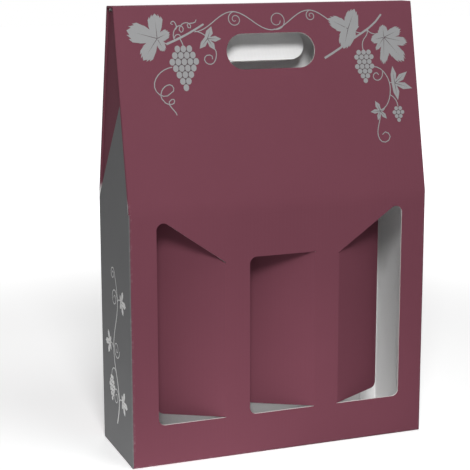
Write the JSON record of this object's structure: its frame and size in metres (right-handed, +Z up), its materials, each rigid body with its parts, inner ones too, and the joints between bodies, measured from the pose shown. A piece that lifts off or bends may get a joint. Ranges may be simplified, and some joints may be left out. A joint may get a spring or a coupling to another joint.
{
  "type": "three bottle carton carrier",
  "caption": "Folded carton carrier with a roof-shaped top, an oval carry hole, window cut-outs with flaps folded inward, and a vine ornament.",
  "frame": {"origin": "middle of the floor's underside", "axes": "+X to the right along the front, -Y out of the front wall with the windows, +Z up"},
  "size_m": [0.2703, 0.09, 0.382],
  "materials": {
    "burgundy_board": "matt printed board",
    "grey_print": "matt ink",
    "silver_print": "satin metallic ink",
    "pale_print": "matt ink",
    "plain_board": "unprinted coated board"
  },
  "bodies": {
    "root": {"carton": "burgundy_board", "side_print_left": "grey_print", "side_print_right": "grey_print", "side_flourish": "pale_print"},
    "lid": {"lid": "burgundy_board", "vine_print": "silver_print"},
    "window_flap_left": {"window_flap_left": "burgundy_board"},
    "window_flap_middle": {"window_flap_middle": "burgundy_board"},
    "window_flap_right": {"window_flap_right": "burgundy_board"},
    "handle_tongue": {"handle_tongue": "plain_board"}
  },
  "joints": [
    {"name": "lid_crease", "type": "hinge", "parent": "root", "child": "lid", "pos_m": [0, -0.04471, 0.21697], "axis": [1, 0, 0], "range_deg": [0, 120]},
    {"name": "window_crease_left", "type": "hinge", "parent": "root", "child": "window_flap_left", "pos_m": [-0.052, -0.0435, 0.105], "axis": [0, 0, -1], "range_deg": [-30, 60]},
    {"name": "window_crease_middle", "type": "hinge", "parent": "root", "child": "window_flap_middle", "pos_m": [0.03, -0.0435, 0.105], "axis": [0, 0, -1], "range_deg": [-30, 60]},
    {"name": "window_crease_right", "type": "hinge", "parent": "root", "child": "window_flap_right", "pos_m": [0.052, -0.0435, 0.105], "axis": [0, 0, 1], "range_deg": [-30, 60]},
    {"name": "tongue_crease", "type": "hinge", "parent": "root", "child": "handle_tongue", "pos_m": [0, 0.01212, 0.36067], "axis": [-1, 0, 0], "range_deg": [-36, 20]}
  ]
}
